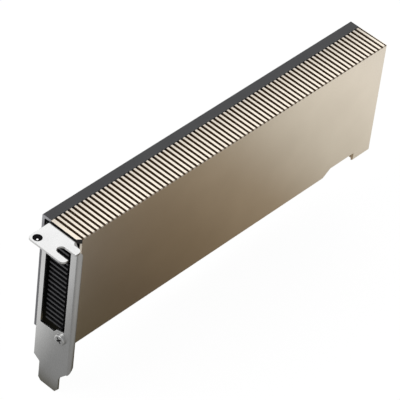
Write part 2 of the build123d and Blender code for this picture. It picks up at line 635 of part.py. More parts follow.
def bracket():
    body = bracket_plate() + bracket_tab() + bracket_flange() - bracket_window()
    ear_x = from_bracket(EAR_LENGTH)
    ear = block(BRACKET_X, ear_x, BOARD_FRONT - BRACKET_SHEET, BOARD_FRONT,
                EAR_Z - EAR_HEIGHT / 2, EAR_Z + EAR_HEIGHT / 2)
    body += chamfer(ear.edges().filter_by(Axis.Y).filter_by_position(Axis.X, ear_x, ear_x), EAR_CORNER)
    body -= rod(*ear_screw_place(), SCREW_R + SCREW_FIT, BOARD_FRONT + OVERCUT,
                BOARD_FRONT - BRACKET_SHEET - OVERCUT)
    hole = Pos(0, 0, BRACKET_SHEET / 2) * Cylinder(SCREW_R + SCREW_FIT, 2 * BRACKET_SHEET)
    body -= Plane(origin=(BRACKET_X, FACE_SCREW_Y, FACE_SCREW_Z), z_dir=(1, 0, 0)) * hole
    return body


def tab_hole_plug():
    outer = HOLE_RADIUS - PLUG_FIT
    top, foot = TAB_TOP - PLUG_SET_BACK, TAB_TOP - BRACKET_SHEET
    profile = outline([(PLUG_OPENING, foot), (outer, foot), (outer, top)])
    return Pos(BRACKET_X - HOLE_OUT, REAR_Y - HOLE_FROM_BACK, 0) * revolve(Plane.XZ * profile, Axis.Z)


def bracket_face_screw():
    head = Pos(0, 0, FACE_SCREW_HEAD / 2) * Cylinder(FACE_SCREW_HEAD_R, FACE_SCREW_HEAD)
    crown = head.edges().filter_by(GeomType.CIRCLE).sort_by(Axis.Z)[-1]
    head = chamfer(crown, FACE_SCREW_CROWN)
    body = head + Pos(0, 0, -FACE_SCREW_LENGTH / 2) * Cylinder(SCREW_R, FACE_SCREW_LENGTH)
    for turn in (0, 90):
        body -= Pos(0, 0, FACE_SCREW_HEAD) * Rot(0, 0, turn) * Box(CROSS_SPAN, CROSS_WIDTH, 2 * CROSS_DEPTH)
    seat = Plane(origin=(BRACKET_X, FACE_SCREW_Y, FACE_SCREW_Z), z_dir=(-1, 0, 0))
    return seat * Rot(0, 0, CROSS_TURN) * body


def insulator_film():
    near, top = BOARD_NEAR_X + FILM_MARGIN, BOARD_TOP - FILM_MARGIN
    foot = RECESS_Z - BACK_DROP + FILM_MARGIN
    film = block(near, BOARD_TAIL_X - FILM_MARGIN, BACK_INNER_Y - FILM_THICK, BACK_INNER_Y, foot, top)
    cut = 2 * FILM_THICK
    for x, z in back_screw_places():
        film -= chip(x, z, BACK_PAD + cut, BACK_PAD + cut, REAR_Y, BACK_DEPTH)
    for x, z in memory_places():
        film -= chip(x, z, MEMORY_LENGTH + cut, MEMORY_WIDTH + cut, REAR_Y, BACK_DEPTH)
    return film


def processor():
    x, z = from_bracket(PROCESSOR_X), PROCESSOR_Z
    package = chip(x, z, PACKAGE_SIZE, PACKAGE_SIZE, BOARD_FRONT, PACKAGE_THICK)
    seat = BOARD_FRONT - PACKAGE_THICK
    inner = PACKAGE_SIZE - 2 * STIFFENER_RIM
    rim = chip(x, z, PACKAGE_SIZE, PACKAGE_SIZE, seat, STIFFENER_THICK)
    rim -= chip(x, z, inner, inner, seat + OVERCUT, STIFFENER_THICK + 2 * OVERCUT)
    die = chip(x, z, DIE_LENGTH, DIE_WIDTH, seat, DIE_THICK)
    paste = chip(x, z, DIE_LENGTH, DIE_WIDTH, seat - DIE_THICK, PASTE_THICK)
    return {"processor_package": package, "package_stiffener": rim, "processor_die": die,
            "thermal_paste": paste}


def memory():
    front, back, front_pads, back_pads = [], [], [], []
    back_pad = BACK_DEPTH - BACK_SHEET - MEMORY_THICK
    for x, z in memory_places():
        size = (MEMORY_LENGTH, MEMORY_WIDTH)
        front.append(chip(x, z, *size, BOARD_FRONT, MEMORY_THICK))
        front_pads.append(chip(x, z, *size, BOARD_FRONT - MEMORY_THICK, MEMORY_PAD))
        back.append(chip(x, z, *size, BOARD_BACK + MEMORY_THICK, MEMORY_THICK))
        back_pads.append(chip(x, z, *size, BACK_INNER_Y, back_pad))
    return {"memory_chips_front": Compound(front), "memory_chips_back": Compound(back),
            "memory_pads_front": Compound(front_pads), "memory_pads_back": Compound(back_pads)}


def choke(x, z):
    body = chip(x, z, CHOKE_SIZE, CHOKE_SIZE, BOARD_FRONT, CHOKE_HEIGHT)
    return chamfer(body.edges().filter_by(Axis.Y), CHOKE_CORNER)


def power_parts():
    chokes = [choke(x, z) for x, z in choke_places()]
    pad = BASE_ABOVE_BOARD - CHOKE_HEIGHT
    seat = BOARD_FRONT - CHOKE_HEIGHT
    size = CHOKE_SIZE - 2 * CHOKE_PAD_MARGIN
    choke_pads = [chip(x, z, size, size, seat, pad)
                  for x, z in choke_places() + [(from_bracket(INPUT_CHOKE_X), INPUT_CHOKE_Z)]]
    size = (STAGE_LENGTH, STAGE_WIDTH)
    stages = [chip(x, z, *size, BOARD_FRONT, STAGE_HEIGHT) for x, z in stage_places()]
    stage_pads = [chip(x, z, *size, BOARD_FRONT - STAGE_HEIGHT, STAGE_PAD) for x, z in stage_places()]
    polymers, ceramics = [], []
    for z in phase_rows():
        x = from_bracket(POLYMER_X)
        polymers.append(chip(x, z, POLYMER_WIDTH, POLYMER_LENGTH, BOARD_FRONT, POLYMER_HEIGHT))
        for side in (-1, 1):
            row = z + side * (CERAMIC_WIDTH + CERAMIC_PAIR_GAP) / 2
            ceramics.append(chip(from_bracket(CERAMIC_X), row, CERAMIC_LENGTH, CERAMIC_WIDTH,
                                 BOARD_FRONT, CERAMIC_HEIGHT))
    return {"power_chokes": Compound(chokes), "choke_pads": Compound(choke_pads),
            "power_stages": Compound(stages), "power_stage_pads": Compound(stage_pads),
            "output_capacitors": Compound(polymers), "input_capacitors": Compound(ceramics),
            "input_choke": choke(from_bracket(INPUT_CHOKE_X), INPUT_CHOKE_Z)}


def leaded_chip(x, z, length, width, height):
    body = chip(x, z, length, width, BOARD_FRONT - CHIP_LEAD_THICK / 2, height)
    first = x - CHIP_LEAD_PITCH * (CHIP_LEAD_COUNT - 1) / 2
    for i in range(CHIP_LEAD_COUNT):
        lead = first + CHIP_LEAD_PITCH * i
        body += chip(lead, z, CHIP_LEAD_WIDTH, width + 2 * CHIP_LEAD, BOARD_FRONT, CHIP_LEAD_THICK)
    return body


def flat_chip(place, size):
    length, width, height = size
    return chip(from_bracket(place[0]), place[1], length, width, BOARD_FRONT, height)


def small_parts():
    x0, z0 = from_bracket(PROCESSOR_X), PROCESSOR_Z
    decoupling = []
    for i in range(DECOUPLING_COLUMNS):
        for j in range(DECOUPLING_ROWS):
            x = x0 + DECOUPLING_PITCH_X * (i - (DECOUPLING_COLUMNS - 1) / 2)
            z = z0 + DECOUPLING_PITCH_Z * (j - (DECOUPLING_ROWS - 1) / 2)
            length, height, width = DECOUPLING_SIZE
            decoupling.append(chip(x, z, length, width, BOARD_BACK + height, height))
    coupling = []
    width, height, length = COUPLING_SIZE
    for lane in range(COUPLING_LANES):
        for side in (-0.5, 0.5):
            x = COUPLING_FROM_KEY + COUPLING_LANE_PITCH * lane + side * COUPLING_PAIR
            coupling.append(chip(x, COUPLING_Z, width, length, BOARD_FRONT, height))
    regulators = [flat_chip(place, REGULATOR_SIZE) for place in REGULATOR_AT]
    return {"decoupling_capacitors": Compound(decoupling), "coupling_capacitors": Compound(coupling),
            "power_controller": flat_chip(POWER_CONTROLLER_AT, POWER_CONTROLLER_SIZE),
            "management_controller": flat_chip(MANAGER_AT, MANAGER_SIZE),
            "firmware_chip": leaded_chip(from_bracket(FIRMWARE_AT[0]), FIRMWARE_AT[1], *FIRMWARE_SIZE),
            "clock_crystal": flat_chip(CRYSTAL_AT, CRYSTAL_SIZE),
            "voltage_regulators": Compound(regulators)}


def screws():
    head_y = REAR_Y - FLAT_HEAD_RECESS
    shape = flat_screw(FLAT_HEAD_R, SCREW_R, BACK_SCREW_LENGTH)
    back = [facing_back(shape, x, head_y, z) for x, z in back_screw_places()]
    ear_length = BOARD_THICK + BRACKET_SHEET
    x, z = ear_screw_place()
    ear = facing_back(pan_screw(EAR_SCREW_HEAD_R, EAR_SCREW_HEAD, ear_length), x, BOARD_BACK, z)
    shape = Rot(180, 0, 0) * pan_screw(COVER_SCREW_HEAD_R, COVER_SCREW_HEAD, COVER_SCREW_LENGTH)
    cover = [Pos(from_bracket(d), FACE_Y + COVER_SCREW_FROM_FACE, LOWER_EDGE_Z) * shape
             for d in COVER_SCREW_AT]
    return {"back_plate_screws": Compound(back), "bracket_ear_screw": ear,
            "cover_screws": Compound(cover)}


def card():
    pieces = {
        "front_cover": front_cover(),
        "back_plate": back_plate(),
        "circuit_board": circuit_board(),
        "edge_contacts": edge_contacts(),
        "heat_sink": heat_sink(),
        "bracket": bracket(),
        "tab_hole_plug": tab_hole_plug(),
        "bracket_face_screw": bracket_face_screw(),
        "insulator_film": insulator_film(),
    }
    for group in (processor(), memory(), power_parts(), small_parts(), screws()):
        pieces.update(group)
    return pieces


for name, shape in card().items():
    export_step(shape, f"parts/{name}.step")
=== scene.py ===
"""Looks for the passive accelerator card: finishes, softened edges and the fastener drives."""

import json
import math

import bmesh
import bpy
from mathutils import Matrix, Vector


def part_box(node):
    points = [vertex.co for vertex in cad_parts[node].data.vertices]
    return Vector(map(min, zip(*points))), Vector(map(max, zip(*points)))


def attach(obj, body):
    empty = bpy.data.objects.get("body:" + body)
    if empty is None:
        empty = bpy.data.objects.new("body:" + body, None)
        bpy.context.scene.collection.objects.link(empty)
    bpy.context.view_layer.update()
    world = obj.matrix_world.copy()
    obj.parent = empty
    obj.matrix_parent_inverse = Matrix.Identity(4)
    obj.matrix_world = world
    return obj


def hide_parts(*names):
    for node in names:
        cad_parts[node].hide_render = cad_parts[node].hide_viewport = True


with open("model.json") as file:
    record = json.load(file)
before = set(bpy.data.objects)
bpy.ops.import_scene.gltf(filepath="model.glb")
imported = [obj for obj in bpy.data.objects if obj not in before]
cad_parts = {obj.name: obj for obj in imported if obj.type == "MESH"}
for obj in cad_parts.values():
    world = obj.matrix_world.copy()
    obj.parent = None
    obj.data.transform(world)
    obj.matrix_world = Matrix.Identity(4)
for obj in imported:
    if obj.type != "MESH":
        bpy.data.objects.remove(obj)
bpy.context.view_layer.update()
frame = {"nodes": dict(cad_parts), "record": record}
nodes = frame["nodes"]
slots = {part["node"]: part["material_slot"] for part in frame["record"]["subparts"]}
face_low, face_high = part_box("bracket_face_screw")
face_middle = (face_low + face_high) / 2

MM = 0.001

# The cover's levels, in mm, where its painted shade starts and stops from one face to the next
TOP_Z = 68.9
GROOVE_DEPTH = 1.3
GROOVE_START_Y = -14.9
FIRST_RIB_X = -55.21
RIB_PITCH = 2.15
GROOVE_SHARE = 0.5
RIB_ROUNDING = 0.22
RIM_SHADE_DEPTH = 0.32
RIM_SHADE_BLUR = 0.06
TAIL_RIM_X = 109.35
COVER_NEAR_X = -56.4
COVER_END_DEPTH = 2.2
CORNER_Y = -13.755
CORNER_LONG = 1.8
CORNER_WIDE = 1.5

# How far a tone reaches into the metal under a groove's floor, behind the thin wall, at the near end
# and, on the slant's own scale, at the oblique corner
FLOOR_SKIN = 0.06
WALL_SKIN = 0.1
END_SKIN = 0.04
CORNER_SKIN = 0.1

# The near ends of the back plate and of the fins, how deep their painted tones go, and the height about
# which the plate's end is painted lighter
PLATE_NEAR_X = -56.1
FIN_NEAR_X = -56.5
NEAR_END_SKIN = 0.05
NEAR_END_BLUR = 0.03
PLATE_LIGHTER_Z = 63.5
PLATE_LIGHTER_BLUR = 3.5

# The cross of the face screw: how far it reaches from the axis, and how far down its painted shade starts
CROSS_REACH = 1.5
CROSS_START = 0.06


def linear(hex_colour):
    """sRGB hex to linear colour."""
    parts = [int(hex_colour[i:i + 2], 16) / 255 for i in (1, 3, 5)]
    return [c / 12.92 if c <= 0.04045 else ((c + 0.055) / 1.055) ** 2.4 for c in parts] + [1.0]


# Camera: a long lens at the photograph's viewing angle, fitted to the card's real size
CAMERA_PLACE = (-0.61816, -0.51798, 0.79022)
CAMERA_TURN = (47.0896, -5.2795, -46.3516)
CAMERA_LENS = 267.27

camera_data = bpy.data.cameras.new("camera")
camera_data.lens = CAMERA_LENS
camera_data.sensor_width = 36
camera_data.clip_end = 20
camera = bpy.data.objects.new("camera", camera_data)
camera.location = CAMERA_PLACE
camera.rotation_euler = [math.radians(a) for a in CAMERA_TURN]
bpy.context.scene.collection.objects.link(camera)
bpy.context.scene.camera = camera
bpy.context.scene.view_settings.view_transform = "Standard"


# Materials. Most of a noise lies between these two values
NOISE_MIDDLE = (0.3, 0.7)


def material(name):
    """A new material and its empty node tree."""
    made = bpy.data.materials.new(name)
    made.use_nodes = True
    made.node_tree.nodes.clear()
    return made, made.node_tree


def add(tree, kind, *fed, **settings):
    """One node. What is fed by place goes to its sockets in their order, and what is named goes to the
    socket or the property of that name. A node stands for its first output in use."""
    node = tree.nodes.new("ShaderNode" + kind)
    pairs = list(zip(node.inputs, fed))
    for name, value in settings.items():
        named = [s for s in node.inputs if s.enabled and s.name == name.replace("_", " ")]
        if named:
            pairs.append((named[0], value))
        else:
            setattr(node, name, value)
    for socket, value in pairs:
        if isinstance(value, bpy.types.Node):
            value = next(output for output in value.outputs if output.enabled)
        if isinstance(value, bpy.types.NodeSocket):
            tree.links.new(value, socket)
        else:
            socket.default_value = value
    return node


def surface(made, **settings):
    """Gives a material its shader and returns it."""
    shader = add(made.node_tree, "BsdfPrincipled", **settings)
    add(made.node_tree, "OutputMaterial", Surface=shader)
    return made


def object_place(tree):
    """The object coordinates along X, Y and Z."""
    place = add(tree, "TexCoord").outputs["Object"]
    return add(tree, "SeparateXYZ", place).outputs


def grain(tree, size, detail=2, stretch=(1, 1, 1)):
    """Noise whose features are about size mm across."""
    place = add(tree, "TexCoord").outputs["Object"]
    scaled = add(tree, "Mapping", place, Scale=[s / (size * MM) for s in stretch])
    return add(tree, "TexNoise", scaled, Scale=1, Detail=detail)


def clouded(tree, noise, low, high):
    """Between two colours, over the range where most of a noise lies."""
    share = add(tree, "MapRange", noise, *NOISE_MIDDLE)
    return add(tree, "Mix", share, data_type="RGBA", A=linear(low), B=linear(high))


def above(tree, along, level, blur=0.02):
    """1 where a coordinate is past the level, in mm, and 0 before it."""
    return add(tree, "MapRange", along, (level - blur) * MM, (level + blur) * MM)


def below(tree, along, level, blur=0.02):
    """0 where a coordinate is past the level, in mm, and 1 before it."""
    return add(tree, "MapRange", along, (level - blur) * MM, (level + blur) * MM, 1, 0)


def between(tree, along, low, high):
    """1 where a coordinate is between two levels, in mm, and 0 elsewhere."""
    return add(tree, "Math", above(tree, along, low), above(tree, along, high), operation="SUBTRACT")


def champagne_cover():
    """Blasted aluminium anodised champagne: a satin metal with a very fine matt tooth. The floors and
    sides of the grooves between the ribs carry painted shade, dark brown, which gives the top its stripes."""
    made, tree = material("champagne_anodised_aluminium")
    x, y, z = object_place(tree)
    fine = grain(tree, 0.25, 3)
    tone = clouded(tree, grain(tree, 18), "#DED4C5", "#E4DACB")

    # Painted shade in the grooves, from their floors up to the ribs' rounded edges
    depth = between(tree, z, TOP_Z - GROOVE_DEPTH - FLOOR_SKIN, TOP_Z - RIB_ROUNDING)
    behind_wall = above(tree, y, GROOVE_START_Y)
    behind_wall = add(tree, "Math", behind_wall, above(tree, x, TAIL_RIM_X), operation="SUBTRACT")
    groove_shade = add(tree, "Math", depth, behind_wall, operation="MULTIPLY")

    # Painted shade along the top of the thin wall in front of each groove
    ribbed = add(tree, "Math", x, FIRST_RIB_X * MM, operation="SUBTRACT")
    ribbed = add(tree, "Math", ribbed, RIB_PITCH * MM, operation="DIVIDE")
    ribbed = add(tree, "Math", ribbed, operation="FRACT")
    off_groove = add(tree, "Math", ribbed, 0.5, operation="SUBTRACT")
    off_groove = add(tree, "Math", off_groove, operation="ABSOLUTE")
    rim_shade = add(tree, "Math", off_groove, GROOVE_SHARE / 2, operation="LESS_THAN")
    for bound in (
        above(tree, z, TOP_Z - RIM_SHADE_DEPTH, RIM_SHADE_BLUR),
        between(tree, x, FIRST_RIB_X, TAIL_RIM_X),
        below(tree, y, GROOVE_START_Y + WALL_SKIN),
    ):
        rim_shade = add(tree, "Math", rim_shade, bound, operation="MULTIPLY")

    # Painted shade on the sawn near end of the top and on its oblique corner, beside the bracket's tab
    slant = add(tree, "Math", y, CORNER_LONG, operation="MULTIPLY")
    slant = add(tree, "Math", x, CORNER_WIDE, slant, operation="MULTIPLY_ADD")
    slant_level = CORNER_WIDE * COVER_NEAR_X + CORNER_LONG * CORNER_Y + CORNER_SKIN
    corner = add(tree, "Math", slant, slant_level * MM, operation="LESS_THAN")
    end = add(tree, "Math", x, (COVER_NEAR_X + END_SKIN) * MM, operation="LESS_THAN")
    end = add(tree, "Math", corner, end, operation="MAXIMUM")
    end = add(tree, "Math", end, above(tree, z, TOP_Z - COVER_END_DEPTH), operation="MULTIPLY")
    painted_end = add(tree, "Mix", corner, data_type="RGBA", A=linear("#0E0C0B"), B=linear("#34312F"))
    shade = add(tree, "Mix", end, data_type="RGBA", A=linear("#5C452B"), B=painted_end)

    dark = add(tree, "Math", groove_shade, rim_shade, operation="MAXIMUM")
    dark = add(tree, "Math", dark, end, operation="MAXIMUM")
    tone = add(tree, "Mix", dark, data_type="RGBA", A=tone, B=shade)
    metal = add(tree, "Math", 1, dark, operation="SUBTRACT")
    rough = add(tree, "MapRange", fine, *NOISE_MIDDLE, 0.30, 0.38)
    rough = add(tree, "Math", dark, 0.35, rough, operation="MULTIPLY_ADD")
    tooth = add(tree, "Bump", Strength=0.25, Distance=0.004 * MM, Height=fine)
    return surface(made, Base_Color=tone, Metallic=metal, Roughness=rough, Normal=tooth)


def black_coat():
    """Sheet metal under black powder coat: dark, with the fine orange peel of the powder. The sheet's cut
    end beside the bracket is greyer, partly a bare cut edge and partly painted light, and painted lighter
    towards its top."""
    made, tree = material("black_powder_coat")
    place = object_place(tree)
    peel = grain(tree, 0.35)
    tone = clouded(tree, grain(tree, 12), "#2C2C2E", "#343436")
    # Painted light on the cut end: greyer than the coat, and lighter towards the top
    bare_and_lit_end = above(tree, place["Z"], PLATE_LIGHTER_Z, PLATE_LIGHTER_BLUR)
    bare_and_lit_end = add(tree, "Mix", bare_and_lit_end, data_type="RGBA", A=linear("#6C6C6F"), B=linear("#A8A8AB"))
    cut = below(tree, place["X"], PLATE_NEAR_X + NEAR_END_SKIN, NEAR_END_BLUR)
    tone = add(tree, "Mix", cut, data_type="RGBA", A=tone, B=bare_and_lit_end)
    rough = add(tree, "MapRange", peel, *NOISE_MIDDLE, 0.42, 0.52)
    dimples = add(tree, "Bump", Strength=0.35, Distance=0.01 * MM, Height=peel)
    return surface(made, Base_Color=tone, IOR=1.5, Roughness=rough, Normal=dimples)


def black_anodised():
    """Extruded aluminium anodised black: nearly black, with a dull sheen along the extrusion. The sawn ends
    of the fins behind the bracket's window are painted lighter, a painted highlight for the light they
    catch."""
    made, tree = material("black_anodised_aluminium")
    fine = grain(tree, 0.2, 2, (0.1, 1, 1))
    tone = clouded(tree, fine, "#161618", "#1F1F21")
    # Painted highlight on the fins' near ends
    painted_end = below(tree, object_place(tree)["X"], FIN_NEAR_X + NEAR_END_SKIN)
    tone = add(tree, "Mix", painted_end, data_type="RGBA", A=tone, B=linear("#343437"))
    rough = add(tree, "MapRange", fine, *NOISE_MIDDLE, 0.38, 0.5)
    return surface(made, Base_Color=tone, Metallic=0.2, Roughness=rough)


def nickel_steel():
    """Stamped steel with satin nickel plate: pale grey, faint rolling lines along its height."""
    made, tree = material("satin_nickel_steel")
    lines = grain(tree, 0.12, 2, (1, 1, 0.02))
    tone = clouded(tree, grain(tree, 9), "#CACAC9", "#D0D0CF")
    rough = add(tree, "MapRange", lines, *NOISE_MIDDLE, 0.24, 0.34)
    rolled = add(tree, "Bump", Strength=0.2, Distance=0.003 * MM, Height=lines)
    return surface(made, Base_Color=tone, Metallic=1, Roughness=rough, Normal=rolled)


def bright_screw():
    """Nickel-plated screw: bright and turned smooth, with painted shade in the cross of the driver."""
    made, tree = material("nickel_screw")
    fine = grain(tree, 0.1, 1)
    tone = add(tree, "Mix", fine, data_type="RGBA", A=linear("#C9C9C8"), B=linear("#D6D6D5"))
    place = add(tree, "TexCoord").outputs["Object"]
    to_axis = [0, -face_middle.y, -face_middle.z]
    centred = add(tree, "Mapping", place, Location=to_axis, Scale=[0, 1, 1])
    off_axis = add(tree, "VectorMath", centred, operation="LENGTH")
    # Painted shade in the cross of the driver
    recess_shade = add(tree, "Math", off_axis, CROSS_REACH * MM, operation="LESS_THAN")
    sunk = above(tree, object_place(tree)["X"], face_low.x / MM + CROSS_START)
    recess_shade = add(tree, "Math", recess_shade, sunk, operation="MULTIPLY")
    tone = add(tree, "Mix", recess_shade, data_type="RGBA", A=tone, B=linear("#1C1C1D"))
    rough = add(tree, "MapRange", fine, *NOISE_MIDDLE, 0.18, 0.28)
    return surface(made, Base_Color=tone, Metallic=1, Roughness=rough)


def black_screw():
    """Screws with black zinc: dark and slightly glossy."""
    made, tree = material("black_zinc_screw")
    fine = grain(tree, 0.15, 1)
    tone = add(tree, "Mix", fine, data_type="RGBA", A=linear("#1F1F21"), B=linear("#2B2B2D"))
    rough = add(tree, "MapRange", fine, *NOISE_MIDDLE, 0.28, 0.4)
    return surface(made, Base_Color=tone, Metallic=0.6, Roughness=rough)


def solder_mask():
    """Glass epoxy board under matt black solder mask: traces and planes show as faint raised paths."""
    made, tree = material("black_solder_mask")
    place = add(tree, "TexCoord").outputs["Object"]
    bricks = add(tree, "TexBrick", place, Scale=260, Mortar_Size=0.12, Mortar_Smooth=0.2,
                 Brick_Width=1.7, Row_Height=0.28)
    traces = bricks.outputs["Fac"]
    weave = grain(tree, 0.5, 1)
    tone = add(tree, "Mix", traces, data_type="RGBA", A=linear("#0A0D0C"), B=linear("#101513"))
    rough = add(tree, "MapRange", weave, *NOISE_MIDDLE, 0.5, 0.6)
    raised = add(tree, "Bump", Strength=0.3, Distance=0.02 * MM, Height=traces)
    return surface(made, Base_Color=tone, IOR=1.5, Specular_IOR_Level=0.25, Roughness=rough, Normal=raised)


def hard_gold():
    """Hard gold plate on nickel: warm and bright, with light scratches along the card's insertion."""
    made, tree = material("hard_gold_plate")
    wipe = grain(tree, 0.08, 2, (1, 1, 0.03))
    tone = add(tree, "Mix", wipe, data_type="RGBA", A=linear("#D9AE56"), B=linear("#EBC46E"))
    rough = add(tree, "MapRange", wipe, *NOISE_MIDDLE, 0.16, 0.28)
    return surface(made, Base_Color=tone, Metallic=1, Roughness=rough)


def plain(name, low, high, rough, size=0.3, metallic=0, depth=0.004, specular=0.5):
    """A fine-grained finish between two tones, for the parts on the board. Sizes are in mm."""
    made, tree = material(name)
    fine = grain(tree, size)
    tone = clouded(tree, fine, low, high)
    roughness = add(tree, "MapRange", fine, *NOISE_MIDDLE, rough, rough + 0.1)
    tooth = add(tree, "Bump", Strength=0.3, Distance=depth * MM, Height=fine)
    return surface(made, Base_Color=tone, Metallic=metallic, Specular_IOR_Level=specular,
                   Roughness=roughness, Normal=tooth)


finishes = {
    "cover_gold": champagne_cover(),
    "black_plate": black_coat(),
    "black_sink": black_anodised(),
    "bracket_metal": nickel_steel(),
    "face_screw": bright_screw(),
    "black_screw": black_screw(),
    "board": solder_mask(),
    "contact_gold": hard_gold(),
    # Green laminate under a matt resist: dark green with a slight cloud of tone
    "package_laminate": plain("green_laminate", "#1F4A2C", "#265433", 0.4),
    # Stamped and nickel-plated frame: pale grey metal, satin
    "stiffener_steel": plain("nickel_stiffener", "#B9B9BA", "#C6C6C7", 0.3, size=0.2, metallic=1),
    # Polished silicon: dark and mirror-like
    "silicon": plain("polished_silicon", "#3B3D42", "#44464B", 0.08, size=4, metallic=0.6, depth=0.0005),
    # Thermal compound squeezed thin: pale grey and dull
    "paste": plain("thermal_compound", "#A9AAAC", "#B7B8BA", 0.6, size=1),
    # Moulded epoxy with a fine sparked surface: nearly black and matt
    "chip_black": plain("moulded_epoxy", "#17171A", "#222225", 0.5, size=0.12),
    # Soft filled silicone: grey-blue, matt, with a slight cloud
    "thermal_pad": plain("silicone_pad", "#8E9AA8", "#99A5B2", 0.75, size=0.6),
    # Pressed powder core: dark grey and matt, a little rough like fired clay
    "choke_ferrite": plain("pressed_ferrite", "#2C2C2E", "#3A3A3C", 0.6, size=0.2),
    # Moulded capacitor cases: dark grey with a slight gloss
    "polymer_capacitor": plain("capacitor_epoxy", "#1B1B1D", "#29292B", 0.45, size=0.2),
    # Fired ceramic: tan and dull
    "ceramic_capacitor": plain("fired_ceramic", "#9A7B58", "#AB8B66", 0.45),
    # Stamped and plated lid: pale metal, satin
    "crystal_can": plain("nickel_lid", "#C4C4C1", "#D0D0CD", 0.25, metallic=1),
    # A matt, nearly black plug in the tab's hole: painted shade for the dark seen through the hole
    "plug_black": plain("painted_shade_plug", "#060607", "#0A0A0C", 0.7, size=0.2, specular=0.15),
    # Calendered polyester film, smooth and a little glossy
    "film": plain("polyester_film", "#161618", "#1D1D1F", 0.25, size=2),
}

for name, thing in nodes.items():
    thing.data.materials.clear()
    thing.data.materials.append(finishes[slots[name]])


# Pieces that stand for a node. A CAD mesh's corners closer than WELD are one, and so are a spun
# mesh's corners or levels closer than NEAR, both in metres
WELD = 1e-7
NEAR = 1e-6


def written(work, mesh):
    """Writes a bmesh to its mesh, with smooth faces."""
    for face in work.faces:
        face.smooth = True
    work.to_mesh(mesh)
    work.free()
    return mesh


def stand_in(node, mesh):
    """Puts a finished mesh in the scene in the place of a node."""
    mesh.set_sharp_from_angle(angle=math.radians(35))
    piece = bpy.data.objects.new(mesh.name, mesh)
    bpy.context.scene.collection.objects.link(piece)
    flats = piece.modifiers.new("flats_stay_flat", "WEIGHTED_NORMAL")
    flats.mode = "FACE_AREA"
    flats.weight = 80
    flats.keep_sharp = True
    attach(piece, "root")
    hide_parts(node)


def soften(node, width, shortest=0.8, axis=None):
    """A copy of the node's mesh whose long sharp edges are broken as a press or a tumbler leaves them,
    so that they catch a thin line of light. Sizes are in mm, and an axis picks the edges along it."""
    mesh = nodes[node].data.copy()
    mesh.name = node + "_edges_broken"
    work = bmesh.new()
    work.from_mesh(mesh)
    bmesh.ops.remove_doubles(work, verts=work.verts, dist=WELD)
    bmesh.ops.dissolve_limit(work, angle_limit=math.radians(0.5), verts=work.verts, edges=work.edges)
    sharp = [e for e in work.edges if len(e.link_faces) == 2 and e.calc_length() > shortest * MM
             and e.calc_face_angle() > math.radians(40)]
    if axis is not None:
        sharp = [e for e in sharp if abs((e.verts[0].co - e.verts[1].co)[axis]) > 0.999 * e.calc_length()]
    bmesh.ops.bevel(work, geom=sharp, offset=width * MM, offset_type="OFFSET", affect="EDGES",
                    segments=3, profile=0.5, material=-1, clamp_overlap=False)
    stand_in(node, written(work, mesh))


soften("bracket", 0.12)
soften("back_plate", 0.12)
soften("front_cover", 0.08, shortest=5, axis=1)


def spun(outline, steps, closed=False):
    """An outline of radius and height, in mm, turned once round Z."""
    work = bmesh.new()
    line = [work.verts.new((r * MM, 0, z * MM)) for r, z in outline]
    following = line[1:] + line[:1] if closed else line[1:]
    edges = [work.edges.new(pair) for pair in zip(line, following)]
    bmesh.ops.spin(work, geom=line + edges, cent=(0, 0, 0), axis=(0, 0, 1), angle=math.tau, steps=steps,
                   use_merge=True)
    bmesh.ops.remove_doubles(work, verts=work.verts, dist=NEAR)
    bmesh.ops.recalc_face_normals(work, faces=work.faces)
    return work


# The plug in the tab's hole stands in as painted shade for the dark seen through it: a ring that narrows
# from its rim to a small opening at its foot, in mm
PLUG_OPENING = 0.4
PLUG_RIM = 0.12

low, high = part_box("tab_hole_plug")
plug_radius = (high.x - low.x) / 2 / MM
plug_height = (high.z - low.z) / MM
plug_outline = [
    (PLUG_OPENING, 0), (plug_radius, 0), (plug_radius, plug_height), (plug_radius - PLUG_RIM, plug_height),
    (PLUG_OPENING + PLUG_RIM, PLUG_RIM),
]
ring = spun(plug_outline, 64, closed=True)
bmesh.ops.translate(ring, vec=((low.x + high.x) / 2, (low.y + high.y) / 2, low.z), verts=ring.verts)
plug = written(ring, bpy.data.meshes.new("tab_hole_plug_spun"))
plug.materials.append(finishes[slots["tab_hole_plug"]])
stand_in("tab_hole_plug", plug)


# Screws: each spun from its outline, the crown rounded, and the cross of the driver pressed in
def pan_outline(radius, height, shank, length):
    """A head with a flat seat on a plain shank, in mm from the seat."""
    return [(0, height), (radius, height), (radius, 0), (shank, 0), (shank, -length), (0, -length)]


def sunk_outline(radius, cone, shank, length):
    """A countersunk head on a plain shank, in mm from the head's flat top."""
    return [(0, 0), (radius, 0), (shank, -cone), (shank, -length), (0, -length)]


